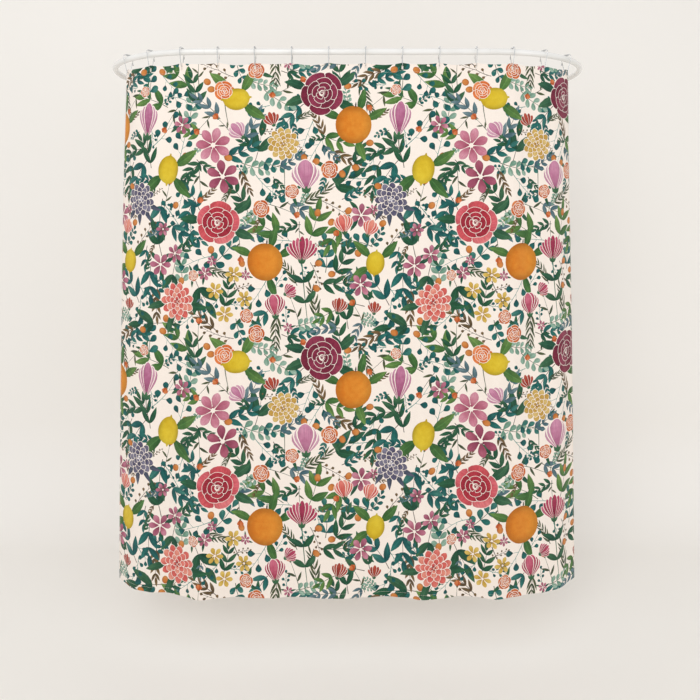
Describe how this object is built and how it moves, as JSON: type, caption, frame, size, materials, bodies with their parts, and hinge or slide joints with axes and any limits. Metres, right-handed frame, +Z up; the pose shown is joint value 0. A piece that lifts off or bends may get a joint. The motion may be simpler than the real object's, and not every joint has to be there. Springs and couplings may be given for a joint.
{
  "type": "shower curtain",
  "caption": "Printed cloth shower curtain hung by roller hooks on a closed oval rod that stands off a wall; it draws in along the rod from both ends.",
  "frame": {"origin": "middle of the whole object's footprint, on the level of the curtain's bottom hem", "axes": "+Z up, -Y towards the side that faces the room, +Y towards the wall, +X along the front rail to the right as seen from the room"},
  "size_m": [1.942, 1.0204, 1.951],
  "materials": {
    "rod_lacquer": "white gloss lacquer",
    "joiner_steel": "zinc plated",
    "screw_steel": "zinc plated",
    "hook_chrome": "bright chrome wire and rollers",
    "curtain_cloth": "woven polyester, printed with flowers, leaves and citrus on cream",
    "hem_cloth": "turned and stitched hem of the same cloth"
  },
  "bodies": {
    "root": {"front_rail": "rod_lacquer", "back_rail": "rod_lacquer", "left_bend": "rod_lacquer", "right_bend": "rod_lacquer", "rail_clamp_left": "rod_lacquer", "rail_clamp_right": "rod_lacquer", "wall_arm_left": "rod_lacquer", "wall_arm_right": "rod_lacquer", "wall_flange_left": "rod_lacquer", "wall_flange_right": "rod_lacquer", "joiner_front_left": "joiner_steel", "joiner_front_right": "joiner_steel", "joiner_back_left": "joiner_steel", "joiner_back_right": "joiner_steel", "flange_screw_left_1": "screw_steel", "flange_screw_left_2": "screw_steel", "flange_screw_left_3": "screw_steel", "flange_screw_right_1": "screw_steel", "flange_screw_right_2": "screw_steel", "flange_screw_right_3": "screw_steel"},
    "fold_01": {"curtain_fold_01": "curtain_cloth"},
    "fold_02": {"curtain_fold_02": "curtain_cloth"},
    "fold_03": {"curtain_fold_03": "curtain_cloth"},
    "fold_04": {"curtain_fold_04": "curtain_cloth"},
    "fold_05": {"curtain_fold_05": "curtain_cloth"},
    "fold_06": {"curtain_fold_06": "curtain_cloth"},
    "fold_07": {"curtain_fold_07": "curtain_cloth"},
    "fold_08": {"curtain_fold_08": "curtain_cloth"},
    "fold_09": {"curtain_fold_09": "curtain_cloth"},
    "fold_10": {"curtain_fold_10": "curtain_cloth"},
    "fold_11": {"curtain_fold_11": "curtain_cloth"},
    "fold_12": {"curtain_fold_12": "curtain_cloth"},
    "fold_13": {"curtain_fold_13": "curtain_cloth"},
    "hook_01": {"hook_01": "hook_chrome", "side_hem_left": "hem_cloth"},
    "hook_02": {"hook_02": "hook_chrome"},
    "hook_03": {"hook_03": "hook_chrome"},
    "hook_04": {"hook_04": "hook_chrome"},
    "hook_05": {"hook_05": "hook_chrome"},
    "hook_06": {"hook_06": "hook_chrome"},
    "hook_07": {"hook_07": "hook_chrome"},
    "hook_08": {"hook_08": "hook_chrome"},
    "hook_09": {"hook_09": "hook_chrome"},
    "hook_10": {"hook_10": "hook_chrome"},
    "hook_11": {"hook_11": "hook_chrome"},
    "hook_12": {"hook_12": "hook_chrome"},
    "hook_13": {"hook_13": "hook_chrome"},
    "hook_14": {"hook_14": "hook_chrome", "side_hem_right": "hem_cloth"}
  },
  "joints": [
    {"name": "curtain_draw", "type": "slide", "parent": "root", "child": "fold_07", "axis": [0, -1, 0], "range_m": [0, 0.02863], "deforming": ["curtain_fold_07"]},
    {"name": "hook_08_draw", "type": "slide", "parent": "fold_07", "child": "hook_08", "axis": [-0.4455, 0.8953, 0], "range_m": [0, 0.03198]},
    {"name": "fold_08_draw", "type": "slide", "parent": "hook_08", "child": "fold_08", "axis": [-0.4455, 0.8953, 0], "range_m": [0, 0.03198], "deforming": ["curtain_fold_08"]},
    {"name": "hook_09_draw", "type": "slide", "parent": "fold_08", "child": "hook_09", "axis": [-0.4455, -0.8953, 0], "range_m": [0, 0.03198]},
    {"name": "fold_09_draw", "type": "slide", "parent": "hook_09", "child": "fold_09", "axis": [-0.4455, -0.8953, 0], "range_m": [0, 0.03198], "deforming": ["curtain_fold_09"]},
    {"name": "hook_10_draw", "type": "slide", "parent": "fold_09", "child": "hook_10", "axis": [-0.4455, 0.8953, 0], "range_m": [0, 0.03198]},
    {"name": "fold_10_draw", "type": "slide", "parent": "hook_10", "child": "fold_10", "axis": [-0.4455, 0.8953, 0], "range_m": [0, 0.03198], "deforming": ["curtain_fold_10"]},
    {"name": "hook_11_draw", "type": "slide", "parent": "fold_10", "child": "hook_11", "axis": [-0.4455, -0.8953, 0], "range_m": [0, 0.03198]},
    {"name": "fold_11_draw", "type": "hinge", "parent": "hook_11", "child": "fold_11", "pos_m": [-1.10326, 0.29733, 1.919], "axis": [0, 0, -1], "range_deg": [0, 1.02], "deforming": ["curtain_fold_11"]},
    {"name": "hook_12_draw", "type": "hinge", "parent": "fold_11", "child": "hook_12", "pos_m": [0.73979, -0.37167, 1.919], "axis": [0, 0, -1], "range_deg": [0, 8.25]},
    {"name": "fold_12_draw", "type": "hinge", "parent": "hook_12", "child": "fold_12", "pos_m": [0.78503, -0.33529, 1.919], "axis": [0, 0, -1], "range_deg": [0, 8.25], "deforming": ["curtain_fold_12"]},
    {"name": "hook_13_draw", "type": "hinge", "parent": "fold_12", "child": "hook_13", "pos_m": [-0.08833, -0.36503, 1.919], "axis": [0, 0, -1], "range_deg": [0, 2.44]},
    {"name": "fold_13_draw", "type": "hinge", "parent": "hook_13", "child": "fold_13", "pos_m": [-0.24766, -0.53333, 1.919], "axis": [0, 0, -1], "range_deg": [0, 1.81], "deforming": ["curtain_fold_13"]},
    {"name": "hook_14_draw", "type": "hinge", "parent": "fold_13", "child": "hook_14", "pos_m": [1.25166, 0.47781, 1.919], "axis": [0, 0, -1], "range_deg": [0, 1.81]},
    {"name": "hook_07_draw", "type": "slide", "parent": "fold_07", "child": "hook_07", "axis": [0.4455, 0.8953, 0], "range_m": [0, 0.03198]},
    {"name": "fold_06_draw", "type": "slide", "parent": "hook_07", "child": "fold_06", "axis": [0.4455, 0.8953, 0], "range_m": [0, 0.03198], "deforming": ["curtain_fold_06"]},
    {"name": "hook_06_draw", "type": "slide", "parent": "fold_06", "child": "hook_06", "axis": [0.4455, -0.8953, 0], "range_m": [0, 0.03198]},
    {"name": "fold_05_draw", "type": "slide", "parent": "hook_06", "child": "fold_05", "axis": [0.4455, -0.8953, 0], "range_m": [0, 0.03198], "deforming": ["curtain_fold_05"]},
    {"name": "hook_05_draw", "type": "slide", "parent": "fold_05", "child": "hook_05", "axis": [0.4455, 0.8953, 0], "range_m": [0, 0.03198]},
    {"name": "fold_04_draw", "type": "slide", "parent": "hook_05", "child": "fold_04", "axis": [0.4455, 0.8953, 0], "range_m": [0, 0.03198], "deforming": ["curtain_fold_04"]},
    {"name": "hook_04_draw", "type": "slide", "parent": "fold_04", "child": "hook_04", "axis": [0.4455, -0.8953, 0], "range_m": [0, 0.03198]},
    {"name": "fold_03_draw", "type": "hinge", "parent": "hook_04", "child": "fold_03", "pos_m": [1.10326, 0.29733, 1.919], "axis": [0, 0, 1], "range_deg": [0, 1.02], "deforming": ["curtain_fold_03"]},
    {"name": "hook_03_draw", "type": "hinge", "parent": "fold_03", "child": "hook_03", "pos_m": [-0.73979, -0.37167, 1.919], "axis": [0, 0, 1], "range_deg": [0, 8.25]},
    {"name": "fold_02_draw", "type": "hinge", "parent": "hook_03", "child": "fold_02", "pos_m": [-0.78503, -0.33529, 1.919], "axis": [0, 0, 1], "range_deg": [0, 8.25], "deforming": ["curtain_fold_02"]},
    {"name": "hook_02_draw", "type": "hinge", "parent": "fold_02", "child": "hook_02", "pos_m": [0.08833, -0.36503, 1.919], "axis": [0, 0, 1], "range_deg": [0, 2.44]},
    {"name": "fold_01_draw", "type": "hinge", "parent": "hook_02", "child": "fold_01", "pos_m": [0.24766, -0.53333, 1.919], "axis": [0, 0, 1], "range_deg": [0, 1.81], "deforming": ["curtain_fold_01"]},
    {"name": "hook_01_draw", "type": "hinge", "parent": "fold_01", "child": "hook_01", "pos_m": [-1.25166, 0.47781, 1.919], "axis": [0, 0, 1], "range_deg": [0, 1.81]}
  ],
  "couplings": [
    {"joint": "hook_08_draw", "follows": "curtain_draw", "ratio": 1.117},
    {"joint": "fold_08_draw", "follows": "curtain_draw", "ratio": 1.117},
    {"joint": "hook_09_draw", "follows": "curtain_draw", "ratio": 1.117},
    {"joint": "fold_09_draw", "follows": "curtain_draw", "ratio": 1.117},
    {"joint": "hook_10_draw", "follows": "curtain_draw", "ratio": 1.117},
    {"joint": "fold_10_draw", "follows": "curtain_draw", "ratio": 1.117},
    {"joint": "hook_11_draw", "follows": "curtain_draw", "ratio": 1.117},
    {"joint": "fold_11_draw", "follows": "curtain_draw", "rad_per_m": 0.62105},
    {"joint": "hook_12_draw", "follows": "curtain_draw", "rad_per_m": 5.0266},
    {"joint": "fold_12_draw", "follows": "curtain_draw", "rad_per_m": 5.0266},
    {"joint": "hook_13_draw", "follows": "curtain_draw", "rad_per_m": 1.4901},
    {"joint": "fold_13_draw", "follows": "curtain_draw", "rad_per_m": 1.1059},
    {"joint": "hook_14_draw", "follows": "curtain_draw", "rad_per_m": 1.1059},
    {"joint": "hook_07_draw", "follows": "curtain_draw", "ratio": 1.117},
    {"joint": "fold_06_draw", "follows": "curtain_draw", "ratio": 1.117},
    {"joint": "hook_06_draw", "follows": "curtain_draw", "ratio": 1.117},
    {"joint": "fold_05_draw", "follows": "curtain_draw", "ratio": 1.117},
    {"joint": "hook_05_draw", "follows": "curtain_draw", "ratio": 1.117},
    {"joint": "fold_04_draw", "follows": "curtain_draw", "ratio": 1.117},
    {"joint": "hook_04_draw", "follows": "curtain_draw", "ratio": 1.117},
    {"joint": "fold_03_draw", "follows": "curtain_draw", "rad_per_m": 0.62105},
    {"joint": "hook_03_draw", "follows": "curtain_draw", "rad_per_m": 5.0266},
    {"joint": "fold_02_draw", "follows": "curtain_draw", "rad_per_m": 5.0266},
    {"joint": "hook_02_draw", "follows": "curtain_draw", "rad_per_m": 1.4901},
    {"joint": "fold_01_draw", "follows": "curtain_draw", "rad_per_m": 1.1059},
    {"joint": "hook_01_draw", "follows": "curtain_draw", "rad_per_m": 1.1059}
  ]
}
